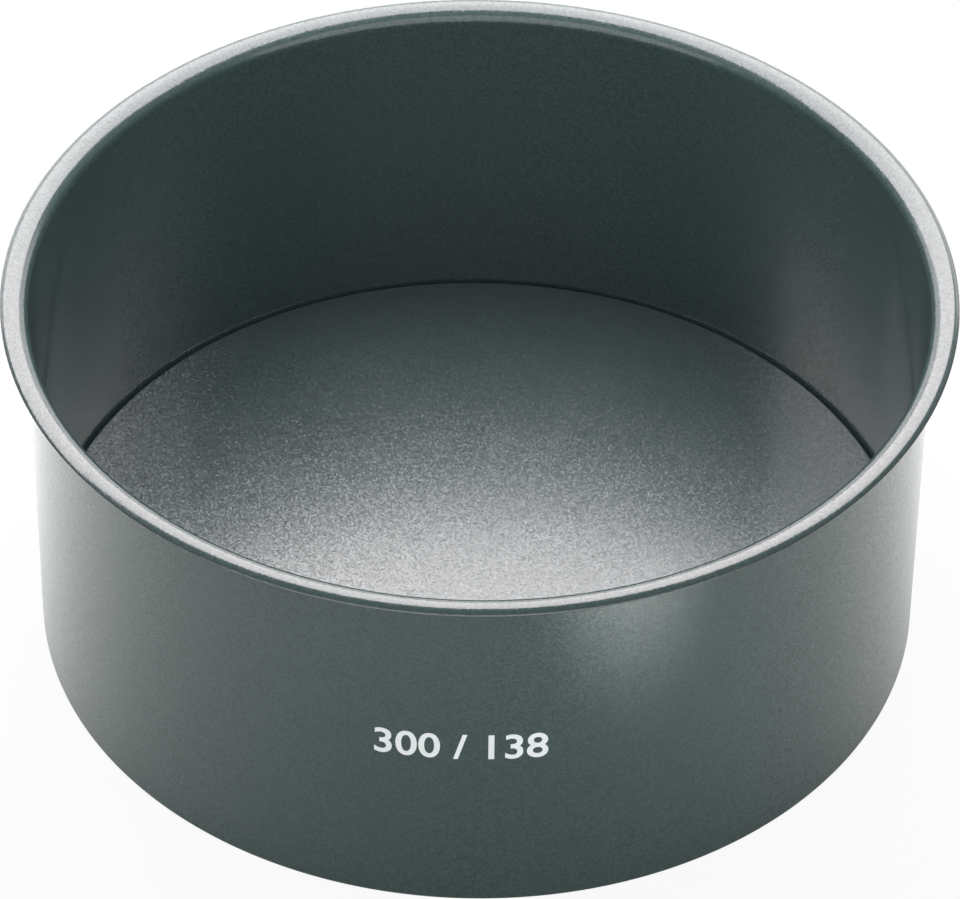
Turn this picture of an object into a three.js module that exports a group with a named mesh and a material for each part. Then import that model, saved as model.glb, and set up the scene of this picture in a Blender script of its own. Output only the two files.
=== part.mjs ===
// Loose-bottom cake pan: a sheet-metal ring with a turned-out rim, and a base that lifts out of it.
// Millimetres, +Z up, with the origin in the middle of the plane that the pan stands on.
import * as THREE from 'three';

// Driving dimensions of the ring
const insideDiameter = 300; // at the ledge, where the base sits
const height = 138.4; // over the rim
const wallGauge = 1.0; // sheet of the ring
const wallFlare = 0.8; // gain in radius from the ledge to the rim, so the base frees as it rises
const ledgeWidth = 9; // inward reach of the ledge that carries the base
const cornerInsideRadius = 1.0; // bend from the ledge up into the wall
const rimInsideRadius = 4.6; // bend that turns the top of the wall outward
const rimFlat = 1.2; // flat run along the top of the rim
const lipInsideRadius = 2.4; // bend that rolls the rim's edge down
const lipTurn = (50 * Math.PI) / 180; // how far down it is rolled
const lipRun = 0.2; // straight run at the sheet's cut edge

// Driving dimensions of the base
const baseGauge = 1.0; // sheet of the base
const baseDepth = 15; // from the top face to the edge that stands on the ledge
const baseBendInsideRadius = 0.6; // bend from the top face down into the skirt
const baseClearance = 0.5; // between the skirt and the wall, in radius
const seatGap = 0.2; // between the skirt and the ledge, the thickness of their coatings

// Facets
const turnSegments = 80; // around the pan
const bendFacet = Math.PI / 10; // largest turn of one facet across a bend

const coating = { color: 0x4b5554, roughness: 0.42, metalness: 0.65 };
const tiny = 1e-6;

const leftOf = (along) => new THREE.Vector2(-along.y, along.x);

// The middle line of a sheet in section: straight runs between corners, each corner bent to its radius
function bentLine(corners) {
  const heading = (i) => corners[i + 1].at.clone().sub(corners[i].at).normalize();
  const last = corners.length - 1;
  const line = [{ at: corners[0].at, along: heading(0) }];
  for (let i = 1; i < last; i += 1) {
    const into = heading(i - 1);
    const out = heading(i);
    const turn = Math.atan2(into.cross(out), into.dot(out));
    const reach = corners[i].bend * Math.tan(Math.abs(turn) / 2);
    const toCentre = corners[i].bend * Math.sign(turn);
    const start = corners[i].at.clone().addScaledVector(into, -reach);
    const centre = start.addScaledVector(leftOf(into), toCentre);
    const steps = Math.ceil(Math.abs(turn) / bendFacet - tiny);
    for (let step = 0; step <= steps; step += 1) {
      const along = into.clone().rotateAround(new THREE.Vector2(), (turn * step) / steps);
      const at = centre.clone().addScaledVector(leftOf(along), -toCentre);
      if (at.distanceTo(line.at(-1).at) > tiny) line.push({ at, along });
    }
  }
  line.push({ at: corners[last].at, along: heading(last - 1) });
  return line;
}

// Outline of a sheet of even gauge: down one face of its middle line and back along the other
function sheetOutline(corners, gauge) {
  const line = bentLine(corners);
  const face = (offset) => line.map(({ at, along }) => at.clone().addScaledVector(leftOf(along), offset));
  return [...face(-gauge / 2), ...face(gauge / 2).reverse()];
}

// Turns an outline of radius and height about the pan's axis
function revolve(name, outline) {
  const geometry = new THREE.LatheGeometry(outline, turnSegments).rotateX(Math.PI / 2);
  const mesh = new THREE.Mesh(geometry, new THREE.MeshStandardMaterial(coating));
  mesh.name = name;
  return mesh;
}

const corner = (radius, z, bend = 0) => ({ at: new THREE.Vector2(radius, z), bend });

const insideRadius = insideDiameter / 2;

// The ring is one sheet: ledge, wall, rim and the lip that rolls its cut edge down
function sideWall() {
  const half = wallGauge / 2;
  const wallTop = insideRadius + wallFlare;
  const rimZ = height - half;
  const lipRadius = lipInsideRadius + half;
  const lipReach = lipRadius * Math.tan(lipTurn / 2);
  const lipCorner = wallTop + rimInsideRadius + wallGauge + rimFlat + lipReach;
  const lipEnd = lipReach + lipRun;
  const outline = sheetOutline([
    corner(insideRadius - ledgeWidth, half),
    corner(insideRadius + half, half, cornerInsideRadius + half),
    corner(wallTop + half, rimZ, rimInsideRadius + half),
    corner(lipCorner, rimZ, lipRadius),
    corner(lipCorner + lipEnd * Math.cos(lipTurn), rimZ - lipEnd * Math.sin(lipTurn)),
  ], wallGauge);
  return revolve('side_wall', [...outline, outline[0].clone()]);
}

// The base is a shallow upturned tray: its skirt stands on the ledge and guides it up the wall.
// The skirt's edge lands where the ring's corner bend has begun to rise.
function looseBase() {
  const half = baseGauge / 2;
  const intoBend = Math.max(cornerInsideRadius - baseClearance, 0);
  const bendRise = cornerInsideRadius - Math.sqrt(cornerInsideRadius ** 2 - intoBend ** 2);
  const seatZ = wallGauge + bendRise + seatGap;
  const topZ = seatZ + baseDepth - half;
  const skirtRadius = insideRadius - baseClearance - half;
  return revolve('loose_base', sheetOutline([
    corner(0, topZ),
    corner(skirtRadius, topZ, baseBendInsideRadius + half),
    corner(skirtRadius, seatZ),
  ], baseGauge));
}

const cakePan = new THREE.Group();
cakePan.add(sideWall(), looseBase());

export default cakePan;
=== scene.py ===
from math import ceil, cos, hypot, pi, radians, sin, tan

import bmesh
import bpy
from mathutils import Matrix, Vector


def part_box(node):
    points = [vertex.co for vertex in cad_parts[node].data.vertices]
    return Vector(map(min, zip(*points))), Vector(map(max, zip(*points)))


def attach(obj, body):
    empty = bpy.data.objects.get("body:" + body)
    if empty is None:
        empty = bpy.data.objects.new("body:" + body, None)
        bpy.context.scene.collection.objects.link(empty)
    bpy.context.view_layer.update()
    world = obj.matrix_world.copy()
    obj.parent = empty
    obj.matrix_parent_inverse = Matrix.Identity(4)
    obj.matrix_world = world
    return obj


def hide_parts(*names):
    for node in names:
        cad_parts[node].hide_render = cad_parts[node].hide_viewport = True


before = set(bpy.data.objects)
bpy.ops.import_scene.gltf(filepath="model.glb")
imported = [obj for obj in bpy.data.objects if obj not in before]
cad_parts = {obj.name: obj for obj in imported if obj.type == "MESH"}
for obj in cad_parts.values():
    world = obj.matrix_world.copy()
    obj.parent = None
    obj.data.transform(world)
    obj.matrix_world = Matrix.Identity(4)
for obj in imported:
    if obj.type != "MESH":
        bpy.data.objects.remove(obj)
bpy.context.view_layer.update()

# Loose-bottom cake pan: a coated sheet-steel ring and the base that lifts out of it, in metres
ringLow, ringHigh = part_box("side_wall")
baseLow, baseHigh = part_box("loose_base")
mm = 0.001
scene = bpy.context.scene
print("frame loaded: rim %.1f mm across, %.1f mm high" % (2 * ringHigh.x / mm, ringHigh.z / mm))


# sheet-metal sections, drawn as radius and height and spun about the pan's axis

edgeEase = 0.2                                 # how far a cut edge bulges, as a share of the gauge
weld = 1e-7                                    # points closer than this are one


def leftOf(along):
    return Vector((-along.y, along.x))


def bentLine(corners, facet):
    # middle line of a sheet: straight runs between corners, each corner bent to its own radius
    spots = [Vector(c[:2]) for c in corners]
    headings = [(b - a).normalized() for a, b in zip(spots, spots[1:])]
    line = [(spots[0], headings[0])]
    for i in range(1, len(spots) - 1):
        into, out = headings[i - 1], headings[i]
        bend = corners[i][2]
        turn = -into.angle_signed(out)         # positive turns left
        toCentre = bend if turn > 0 else -bend
        centre = spots[i] - into * bend * tan(abs(turn) / 2) + leftOf(into) * toCentre
        steps = ceil(abs(turn) / facet)
        for step in range(steps + 1):
            along = Matrix.Rotation(turn * step / steps, 2) @ into
            at = centre - leftOf(along) * toCentre
            if (at - line[-1][0]).length > weld:
                line.append((at, along))
    line.append((spots[-1], headings[-1]))
    return line


def roundedEdge(at, along, gauge, steps=6):
    # eased cut edge, from the sheet's right face to its left one
    turns = [pi * step / steps - pi / 2 for step in range(1, steps)]
    ease = gauge * edgeEase
    return [at + along * cos(a) * ease + leftOf(along) * sin(a) * gauge / 2 for a in turns]


def sheetOutline(corners, gauge, facet, fromAxis=False):
    line = bentLine(corners, facet)
    right = [at - leftOf(along) * gauge / 2 for at, along in line]
    left = [at + leftOf(along) * gauge / 2 for at, along in line]
    outline = right + roundedEdge(*line[-1], gauge) + left[::-1]
    if not fromAxis:
        at, along = line[0]
        outline += roundedEdge(at, -along, gauge)
    return outline


def spinSheet(name, outline, segments, closed):
    bm = bmesh.new()
    rail = [bm.verts.new((p.x, 0, p.y)) for p in outline]
    pairs = list(zip(rail, rail[1:])) + ([(rail[-1], rail[0])] if closed else [])
    edges = [bm.edges.new(pair) for pair in pairs]
    bmesh.ops.spin(bm, geom=rail + edges, axis=(0, 0, 1), cent=(0, 0, 0), angle=2 * pi,
                   steps=segments, use_merge=True)
    bmesh.ops.remove_doubles(bm, verts=bm.verts, dist=weld)
    bmesh.ops.dissolve_degenerate(bm, edges=bm.edges, dist=weld / 10)
    bmesh.ops.recalc_face_normals(bm, faces=bm.faces)
    for face in bm.faces:
        face.smooth = True
    mesh = bpy.data.meshes.new(name)
    bm.to_mesh(mesh)
    bm.free()
    piece = bpy.data.objects.new(name, mesh)
    scene.collection.objects.link(piece)
    piece.modifiers.new("evenNormals", "WEIGHTED_NORMAL")      # flats stay flat beside bends
    return piece


# the ring: ledge, wall, rim and rolled-down lip in one sheet

ring = {
    "gauge": 1.0 * mm,
    "flare": 0.8 * mm,            # gain in radius from ledge to rim
    "ledgeWidth": 9 * mm,
    "cornerBend": 1.0 * mm,       # inside radii of the three bends
    "rimBend": 4.6 * mm,
    "lipBend": 2.4 * mm,
    "lipTurn": radians(50),       # how far down the lip is rolled
    "lipRun": 0.2 * mm,           # straight run at the cut edge
    "rimReach": 9.53 * mm,        # from the inside of the wall to the rim's edge
    "segments": 256,
    "facet": radians(9),
}


def wallInside():
    return ringHigh.x - ring["rimReach"]       # inside radius of the wall, just under the rim


def makeRing():
    half = ring["gauge"] / 2
    wallTop = wallInside()
    wallFoot = wallTop - ring["flare"]
    ease = ring["gauge"] * edgeEase
    rimZ = ringHigh.z - half
    turn = ring["lipTurn"]
    lipBend = ring["lipBend"] + half
    lipReach = lipBend * tan(turn / 2) + ring["lipRun"]
    lipEnd = ringHigh.x - hypot(ease * cos(turn), half * sin(turn))
    outline = sheetOutline([
        (wallFoot - ring["ledgeWidth"] + ease, half),
        (wallFoot + half, half, ring["cornerBend"] + half),
        (wallTop + half, rimZ, ring["rimBend"] + half),
        (lipEnd - lipReach * cos(turn), rimZ, lipBend),
        (lipEnd, rimZ - lipReach * sin(turn)),
    ], ring["gauge"], ring["facet"])
    piece = spinSheet("coated_ring", outline, ring["segments"], closed=True)
    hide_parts("side_wall")
    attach(piece, "ring")
    return piece


# the base: a flat top with a turned-down skirt

base = {
    "gauge": 1.0 * mm,
    "bend": 0.2 * mm,             # inside radius at the edge of the top
    "segments": 256,
    "facet": radians(9),
}


def makeBase():
    half = base["gauge"] / 2
    topZ = baseHigh.z - half
    skirt = baseHigh.x - half
    outline = sheetOutline([
        (0, topZ),
        (skirt, topZ, base["bend"] + half),
        (skirt, baseLow.z + base["gauge"] * edgeEase),
    ], base["gauge"], base["facet"], fromAxis=True)
    piece = spinSheet("coated_base", outline, base["segments"], closed=False)
    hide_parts("loose_base")
    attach(piece, "base")
    return piece


# size mark: plain numbers, inside diameter over height, printed on the front of the wall

mark = {
    "words": "300 / 138",
    "capHeight": 11.0 * mm,
    "capShare": 0.73,             # height of a figure, as a share of the letter size
    "weight": 0.015,              # added to the strokes, as a share of the letter size
    "turn": radians(-1.8),        # round the wall from the front, positive to the right
    "height": 66 * mm,            # of the foot of the figures above the table
    "film": 0.06 * mm,            # thickness of the print
    "rise": 0.02 * mm,            # of the middle of the print above the wall
    "slice": 1.0 * mm,            # widest strip that stays flat on the round wall
    "curveSteps": 6,
    "paint": (0.95, 0.97, 0.98),
    "speckle": 0.94,              # darkest paint, as a share of the lightest
    "grain": 2500.0,              # specks per metre
    "roughness": 0.5,
}


def makeMark():
    text = bpy.data.curves.new("sizeText", "FONT")
    text.body = mark["words"]
    text.align_x = "CENTER"
    text.size = mark["capHeight"] / mark["capShare"]
    text.offset = mark["weight"] * text.size
    text.extrude = mark["film"] / 2
    text.resolution_u = mark["curveSteps"]
    draft = bpy.data.objects.new("sizeDraft", text)
    scene.collection.objects.link(draft)
    depsgraph = bpy.context.evaluated_depsgraph_get()
    mesh = bpy.data.meshes.new_from_object(draft.evaluated_get(depsgraph))
    bpy.data.objects.remove(draft)
    bm = bmesh.new()
    bm.from_mesh(mesh)
    bmesh.ops.remove_doubles(bm, verts=bm.verts, dist=weld)
    reach = max(abs(v.co.x) for v in bm.verts)
    cuts = ceil(2 * reach / mark["slice"])
    for cut in range(1, cuts):
        x = -reach + 2 * reach * cut / cuts
        geom = bm.verts[:] + bm.edges[:] + bm.faces[:]
        bmesh.ops.bisect_plane(bm, geom=geom, plane_co=(x, 0, 0), plane_no=(1, 0, 0))
    wallFoot = wallInside() - ring["flare"] + ring["gauge"]
    for v in bm.verts:
        z = mark["height"] + v.co.y
        radius = wallFoot + ring["flare"] * z / ringHigh.z + v.co.z + mark["rise"]
        around = mark["turn"] + v.co.x / radius - pi / 2
        v.co = (radius * cos(around), radius * sin(around), z)
    bmesh.ops.recalc_face_normals(bm, faces=bm.faces)
    bm.to_mesh(mesh)
    bm.free()
    mesh.name = "size_mark"
    piece = bpy.data.objects.new("size_mark", mesh)
    scene.collection.objects.link(piece)
    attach(piece, "ring")
    return piece


# shared surface effects, as node groups

def newGroup(name, inputs, outputs):
    group = bpy.data.node_groups.new(name, "ShaderNodeTree")
    for label, kind, value in inputs:
        socket = group.interface.new_socket(label, in_out="INPUT", socket_type=kind)
        socket.default_value = value
    for label, kind in outputs:
        group.interface.new_socket(label, in_out="OUTPUT", socket_type=kind)
    return group, group.nodes.new("NodeGroupInput"), group.nodes.new("NodeGroupOutput")


def node(tree, kind, **settings):
    made = tree.nodes.new(kind)
    for key, value in settings.items():
        setattr(made, key, value)
    return made


def makeFlakeGroup():
    # metal flakes in the coating: each cell has its own brightness and its own small tilt
    group, given, result = newGroup("metalFlakes", [
        ("Flakes per metre", "NodeSocketFloat", 1500.0),
        ("Tilt", "NodeSocketFloat", 0.2),
    ], [("Glint", "NodeSocketFloat"), ("Normal", "NodeSocketVector")])
    link = group.links.new
    spot = node(group, "ShaderNodeTexCoord")
    cells = node(group, "ShaderNodeTexVoronoi", feature="F1")
    link(spot.outputs["Object"], cells.inputs["Vector"])
    link(given.outputs["Flakes per metre"], cells.inputs["Scale"])
    centred = node(group, "ShaderNodeVectorMath", operation="SUBTRACT")
    link(cells.outputs["Color"], centred.inputs[0])
    centred.inputs[1].default_value = (0.5, 0.5, 0.5)          # middle of the random range
    tilted = node(group, "ShaderNodeVectorMath", operation="SCALE")
    link(centred.outputs["Vector"], tilted.inputs["Vector"])
    link(given.outputs["Tilt"], tilted.inputs["Scale"])
    surface = node(group, "ShaderNodeNewGeometry")
    summed = node(group, "ShaderNodeVectorMath", operation="ADD")
    link(surface.outputs["Normal"], summed.inputs[0])
    link(tilted.outputs["Vector"], summed.inputs[1])
    even = node(group, "ShaderNodeVectorMath", operation="NORMALIZE")
    link(summed.outputs["Vector"], even.inputs[0])
    link(even.outputs["Vector"], result.inputs["Normal"])
    channels = node(group, "ShaderNodeSeparateColor")
    link(cells.outputs["Color"], channels.inputs["Color"])
    link(channels.outputs["Red"], result.inputs["Glint"])
    return group


def makeHazeGroup():
    # slow unevenness of a sprayed and baked coat, and its fine orange peel
    group, given, result = newGroup("bakedHaze", [
        ("Patch per metre", "NodeSocketFloat", 25.0),
        ("Peel per metre", "NodeSocketFloat", 900.0),
    ], [("Tone", "NodeSocketFloat"), ("Peel", "NodeSocketFloat")])
    link = group.links.new
    spot = node(group, "ShaderNodeTexCoord")
    for scale, target, detail in (("Patch per metre", "Tone", 4.0), ("Peel per metre", "Peel", 1.0)):
        clouds = node(group, "ShaderNodeTexNoise")
        clouds.inputs["Detail"].default_value = detail
        link(spot.outputs["Object"], clouds.inputs["Vector"])
        link(given.outputs[scale], clouds.inputs["Scale"])
        link(clouds.outputs["Fac"], result.inputs[target])
    return group


# finishes

ringCoat = {
    "body": (0.046, 0.074, 0.073),
    "bareEdge": (0.13, 0.14, 0.14),            # thin coat along the cut edge of the lip
    "bareReach": (0.18 * mm, 0.40 * mm),       # how far in from the rim's edge it fades out
    "flakeTone": 0.20,            # how far single flakes differ from the body colour
    "flakeGloss": (0.70, 1.0),    # share of the clear top over single flakes
    "metallic": 0.05,
    "ior": 1.42,
    "roughness": (0.17, 0.22),    # least and most, as the haze goes
    "coatRoughness": 0.10,        # of the clear top of the coating
    "flakes": 1800.0,             # per metre
    "tilt": 0.14,                 # of single flakes
    "peel": 0.05,                 # strength of the orange peel
    "peelDepth": 0.05 * mm,
    "hazeSpan": (0.3, 0.7),       # range of the haze that the roughness follows
    "bareMetallic": 0.9,
}
baseCoat = dict(ringCoat, body=(0.046, 0.073, 0.073), flakeTone=0.32, flakeGloss=(0.52, 1.0),
                metallic=0.2, ior=1.7, roughness=(0.31, 0.37), coatRoughness=0.22, tilt=0.22,
                bareReach=None)               # its edge is coated all round


def place(tree, group, **values):
    made = node(tree, "ShaderNodeGroup", node_tree=group)
    for label, value in values.items():
        made.inputs[label.replace("_", " ")].default_value = value
    return made


def makeCoat(name, coat, flakeGroup, hazeGroup):
    material = bpy.data.materials.new(name)
    material.use_nodes = True
    tree = material.node_tree
    link = tree.links.new
    shader = tree.nodes["Principled BSDF"]
    shader.inputs["Metallic"].default_value = coat["metallic"]
    shader.inputs["IOR"].default_value = coat["ior"]
    shader.inputs["Coat Roughness"].default_value = coat["coatRoughness"]
    flakes = place(tree, flakeGroup, Flakes_per_metre=coat["flakes"], Tilt=coat["tilt"])
    haze = place(tree, hazeGroup)
    tone = node(tree, "ShaderNodeMapRange")
    link(flakes.outputs["Glint"], tone.inputs["Value"])
    tone.inputs["To Min"].default_value = 1 - coat["flakeTone"]
    tone.inputs["To Max"].default_value = 1 + coat["flakeTone"]
    toned = node(tree, "ShaderNodeVectorMath", operation="SCALE")
    toned.inputs["Vector"].default_value = coat["body"]
    link(tone.outputs["Result"], toned.inputs["Scale"])
    link(toned.outputs["Vector"], shader.inputs["Base Color"])
    gloss = node(tree, "ShaderNodeMapRange")
    link(flakes.outputs["Glint"], gloss.inputs["Value"])
    gloss.inputs["To Min"].default_value, gloss.inputs["To Max"].default_value = coat["flakeGloss"]
    link(gloss.outputs["Result"], shader.inputs["Coat Weight"])
    if coat["bareReach"]:
        bareTheEdge(tree, shader, toned, coat)
    dulled = node(tree, "ShaderNodeMapRange")
    link(haze.outputs["Tone"], dulled.inputs["Value"])
    dulled.inputs["From Min"].default_value, dulled.inputs["From Max"].default_value = coat["hazeSpan"]
    dulled.inputs["To Min"].default_value, dulled.inputs["To Max"].default_value = coat["roughness"]
    link(dulled.outputs["Result"], shader.inputs["Roughness"])
    bump = node(tree, "ShaderNodeBump")
    bump.inputs["Strength"].default_value = coat["peel"]
    bump.inputs["Distance"].default_value = coat["peelDepth"]
    link(haze.outputs["Peel"], bump.inputs["Height"])
    link(flakes.outputs["Normal"], bump.inputs["Normal"])
    link(bump.outputs["Normal"], shader.inputs["Normal"])
    return material


def bareTheEdge(tree, shader, body, coat):
    # the steel shows through where the coat thins out at the edge of the lip
    link = tree.links.new
    spot = node(tree, "ShaderNodeTexCoord")
    flat = node(tree, "ShaderNodeVectorMath", operation="MULTIPLY")
    link(spot.outputs["Object"], flat.inputs[0])
    flat.inputs[1].default_value = (1, 1, 0)
    reach = node(tree, "ShaderNodeVectorMath", operation="LENGTH")
    link(flat.outputs["Vector"], reach.inputs[0])
    bare = node(tree, "ShaderNodeMapRange")
    link(reach.outputs["Value"], bare.inputs["Value"])
    bare.inputs["From Min"].default_value = ringHigh.x - coat["bareReach"][1]
    bare.inputs["From Max"].default_value = ringHigh.x - coat["bareReach"][0]
    colour = node(tree, "ShaderNodeMix", data_type="RGBA")
    link(bare.outputs["Result"], colour.inputs["Factor"])
    link(body.outputs["Vector"], colour.inputs["A"])
    colour.inputs["B"].default_value = (*coat["bareEdge"], 1)
    link(colour.outputs["Result"], shader.inputs["Base Color"])
    metal = node(tree, "ShaderNodeMapRange")
    link(bare.outputs["Result"], metal.inputs["Value"])
    metal.inputs["To Min"].default_value = coat["metallic"]
    metal.inputs["To Max"].default_value = coat["bareMetallic"]
    link(metal.outputs["Result"], shader.inputs["Metallic"])


def makePrint(hazeGroup):
    material = bpy.data.materials.new("white_print")
    material.use_nodes = True
    tree = material.node_tree
    shader = tree.nodes["Principled BSDF"]
    shader.inputs["Roughness"].default_value = mark["roughness"]
    haze = place(tree, hazeGroup, Peel_per_metre=mark["grain"])
    speckle = node(tree, "ShaderNodeMix", data_type="RGBA")
    tree.links.new(haze.outputs["Peel"], speckle.inputs["Factor"])
    speckle.inputs["A"].default_value = (*[c * mark["speckle"] for c in mark["paint"]], 1)
    speckle.inputs["B"].default_value = (*mark["paint"], 1)
    tree.links.new(speckle.outputs["Result"], shader.inputs["Base Color"])
    return material


# studio: a pale floor, a soft panel above and behind, a dim backdrop, a front fill, a spot and a long lens

studio = {
    "floorSize": 16.0,
    "floorColour": (0.515, 0.555, 0.54),
    "floorRoughness": 0.9,
    "floorGlow": 0.93,            # share of plain white in the floor as seen by the camera
    "floorMirror": 0.05,          # and as mirrored in the pan
    "roomColour": (0.24, 0.27, 0.27),
    "canopyAt": Vector((-0.25, 0.51, 0.64)),
    "canopyAim": Vector((-0.25, 0.50, 0)),
    "canopySize": (1.6, 0.88),
    "canopyPower": 27.2,
    "backdropAt": Vector((-0.1, 1.15, 0.41)),
    "backdropAim": Vector((-0.1, 0, 0.41)),
    "backdropSize": (2.8, 0.67),
    "backdropPower": 9.0,
    "fillAt": Vector((-0.1, -2.0, 0.92)),
    "fillAim": Vector((-0.1, 0, 0.07)),
    "fillSize": (6.0, 1.8),
    "fillPower": 41.0,
    "spotAt": Vector((0.163, -0.294, 1.5)),    # lights the floor to the right of the front
    "spotPower": 780.0,
    "spotCone": radians(6.3),
    "spotRadius": 0.05,
    "warmLamp": (1.0, 0.91, 0.925),            # behind the pan
    "plainLamp": (1.0, 1.0, 1.0),              # in front of it
}
view = {
    "elevation": radians(41.337),
    "distance": 2.1224,
    "aim": Vector((0.0006, 0, 0.0661)),
    "roll": radians(0.625),
    "lens": 232.7,
    "sensorWidth": 36,
    "clipEnd": 50,
}


def makeFloor():
    half = studio["floorSize"] / 2
    mesh = bpy.data.meshes.new("studio_floor")
    corners = [(-half, -half, 0), (half, -half, 0), (half, half, 0), (-half, half, 0)]
    mesh.from_pydata(corners, [], [(0, 1, 2, 3)])
    floor = bpy.data.objects.new("studio_floor", mesh)
    scene.collection.objects.link(floor)
    paper = bpy.data.materials.new("studio_paper")
    paper.use_nodes = True
    tree = paper.node_tree
    link = tree.links.new
    shader = tree.nodes["Principled BSDF"]
    shader.inputs["Base Color"].default_value = (*studio["floorColour"], 1)
    shader.inputs["Roughness"].default_value = studio["floorRoughness"]
    shader.inputs["Specular IOR Level"].default_value = 0.0
    rays = node(tree, "ShaderNodeLightPath")
    mirrored = node(tree, "ShaderNodeMath", operation="MAXIMUM")
    link(rays.outputs["Is Glossy Ray"], mirrored.inputs[0])
    link(rays.outputs["Is Transmission Ray"], mirrored.inputs[1])
    seen = node(tree, "ShaderNodeMath", operation="MULTIPLY")
    link(rays.outputs["Is Camera Ray"], seen.inputs[0])
    seen.inputs[1].default_value = studio["floorGlow"]
    share = node(tree, "ShaderNodeMath", operation="MULTIPLY_ADD")
    link(mirrored.outputs["Value"], share.inputs[0])
    share.inputs[1].default_value = studio["floorMirror"]
    link(seen.outputs["Value"], share.inputs[2])
    white = node(tree, "ShaderNodeEmission")
    mixed = node(tree, "ShaderNodeMixShader")
    link(share.outputs["Value"], mixed.inputs["Fac"])
    link(shader.outputs["BSDF"], mixed.inputs[1])
    link(white.outputs["Emission"], mixed.inputs[2])
    link(mixed.outputs["Shader"], tree.nodes["Material Output"].inputs["Surface"])
    mesh.materials.append(paper)


def aimAt(thing, eye, target, roll=0.0):
    back = (eye - target).normalized()
    right = Vector((0, 0, 1)).cross(back).normalized()
    turned = Matrix((right, back.cross(right), back)).transposed()
    thing.matrix_world = Matrix.Translation(eye) @ (Matrix.Rotation(roll, 3, back) @ turned).to_4x4()


def makeLight():
    for name in ("canopy", "backdrop", "fill"):
        lamp = bpy.data.lights.new(name, "AREA")
        lamp.shape = "RECTANGLE"
        lamp.size, lamp.size_y = studio[name + "Size"]
        lamp.energy = studio[name + "Power"]
        lamp.color = studio["warmLamp" if name in ("canopy", "backdrop") else "plainLamp"]
        panel = bpy.data.objects.new(name, lamp)
        panel.visible_camera = False           # it stands close, so other views look past it
        scene.collection.objects.link(panel)
        aimAt(panel, studio[name + "At"], studio[name + "Aim"])
    lamp = bpy.data.lights.new("floor_spot", "SPOT")
    lamp.energy = studio["spotPower"]
    lamp.spot_size = studio["spotCone"]
    lamp.spot_blend = 1.0
    lamp.shadow_soft_size = studio["spotRadius"]
    spot = bpy.data.objects.new("floor_spot", lamp)
    spot.location = studio["spotAt"]
    scene.collection.objects.link(spot)
    world = bpy.data.worlds.new("studio_room")
    world.use_nodes = True
    world.node_tree.nodes["Background"].inputs["Color"].default_value = (*studio["roomColour"], 1)
    scene.world = world


def makeCamera():
    camera = bpy.data.objects.new("camera", bpy.data.cameras.new("camera"))
    camera.data.lens = view["lens"]
    camera.data.sensor_width = view["sensorWidth"]
    camera.data.clip_end = view["clipEnd"]
    scene.collection.objects.link(camera)
    eye = view["aim"] + Vector((0, -cos(view["elevation"]), sin(view["elevation"]))) * view["distance"]
    aimAt(camera, eye, view["aim"], view["roll"])
    scene.camera = camera


ringPiece = makeRing()
basePiece = makeBase()
markPiece = makeMark()
print("pieces made:", ", ".join(p.name for p in (ringPiece, basePiece, markPiece)))

flakeGroup, hazeGroup = makeFlakeGroup(), makeHazeGroup()
ringPiece.data.materials.append(makeCoat("ring_coating", ringCoat, flakeGroup, hazeGroup))
basePiece.data.materials.append(makeCoat("base_coating", baseCoat, flakeGroup, hazeGroup))
markPiece.data.materials.append(makePrint(hazeGroup))
print("finishes made")

makeFloor()
makeLight()
makeCamera()
scene.view_settings.view_transform = "Standard"
print("studio set")
